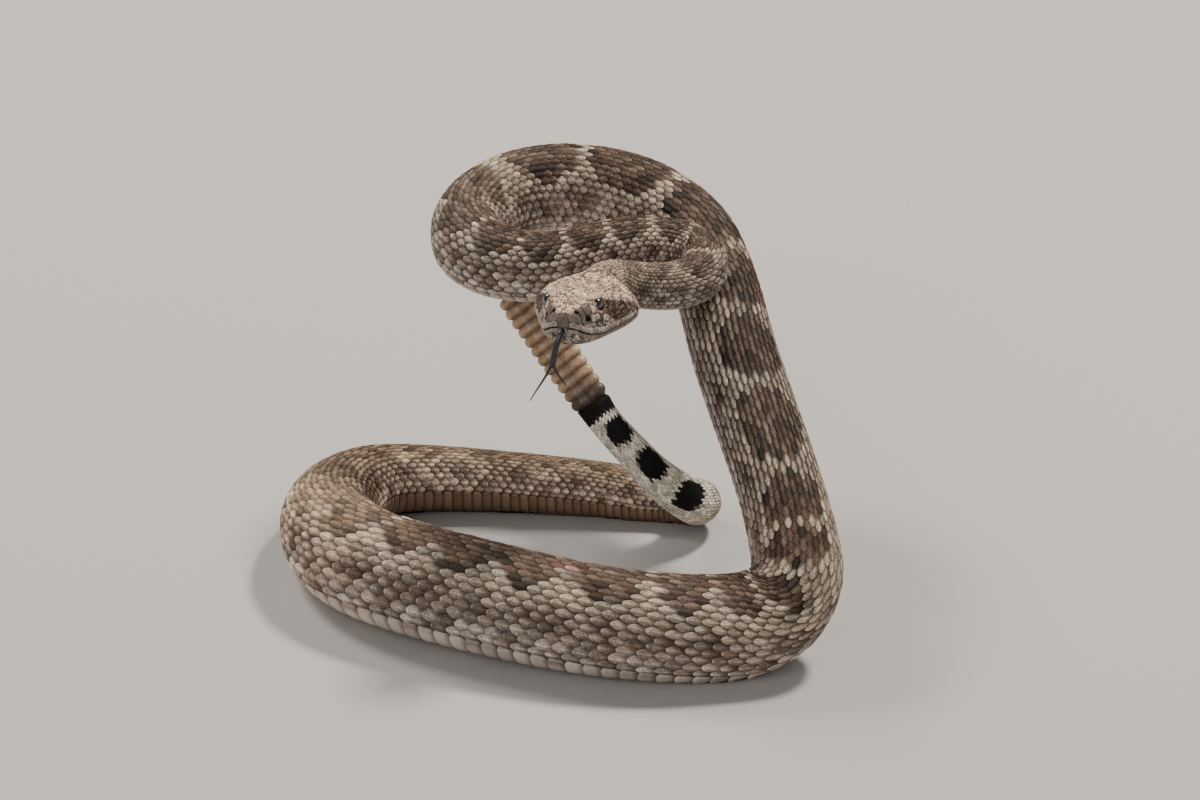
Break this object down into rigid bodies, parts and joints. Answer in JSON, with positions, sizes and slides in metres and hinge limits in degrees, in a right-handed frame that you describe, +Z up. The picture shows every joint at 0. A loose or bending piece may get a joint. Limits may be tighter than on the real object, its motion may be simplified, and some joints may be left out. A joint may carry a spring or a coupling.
{
  "type": "western diamondback rattlesnake model",
  "caption": "Life-size still model of a western diamondback rattlesnake in its raised strike pose, coiled on the floor with tongue out and rattle up.",
  "frame": {"origin": "on the floor, under the middle of the model's footprint", "axes": "+Z up, the head faces -Y (towards the viewer in the picture) and +X is to the viewer's right, along the floor coil"},
  "size_m": [0.249, 0.2428, 0.1605],
  "materials": {
    "head": "scaled skin, matt",
    "neck": "scaled skin, matt",
    "body": "keeled scales, matt",
    "tail": "keeled scales, matt",
    "eye": "wet gloss",
    "tongue": "moist, dark",
    "rattle": "dry horn, satin"
  },
  "bodies": {
    "root": {"head": "head", "lower_jaw": "head", "eye_left": "eye", "eye_right": "eye", "tongue": "tongue", "neck": "neck", "neck_bend": "neck", "upper_near_strand": "body", "upper_left_turn_near": "body", "upper_left_turn_far": "body", "upper_far_strand": "body", "upper_right_turn": "body", "column_upper": "body", "column_lower": "body", "right_bend": "body", "front_run_right": "body", "front_run_left": "body", "left_bend_front": "body", "left_bend_rear": "body", "rear_run": "body", "rear_run_end": "body", "tail_root": "tail", "tail": "tail", "rattle": "rattle"}
  },
  "joints": []
}
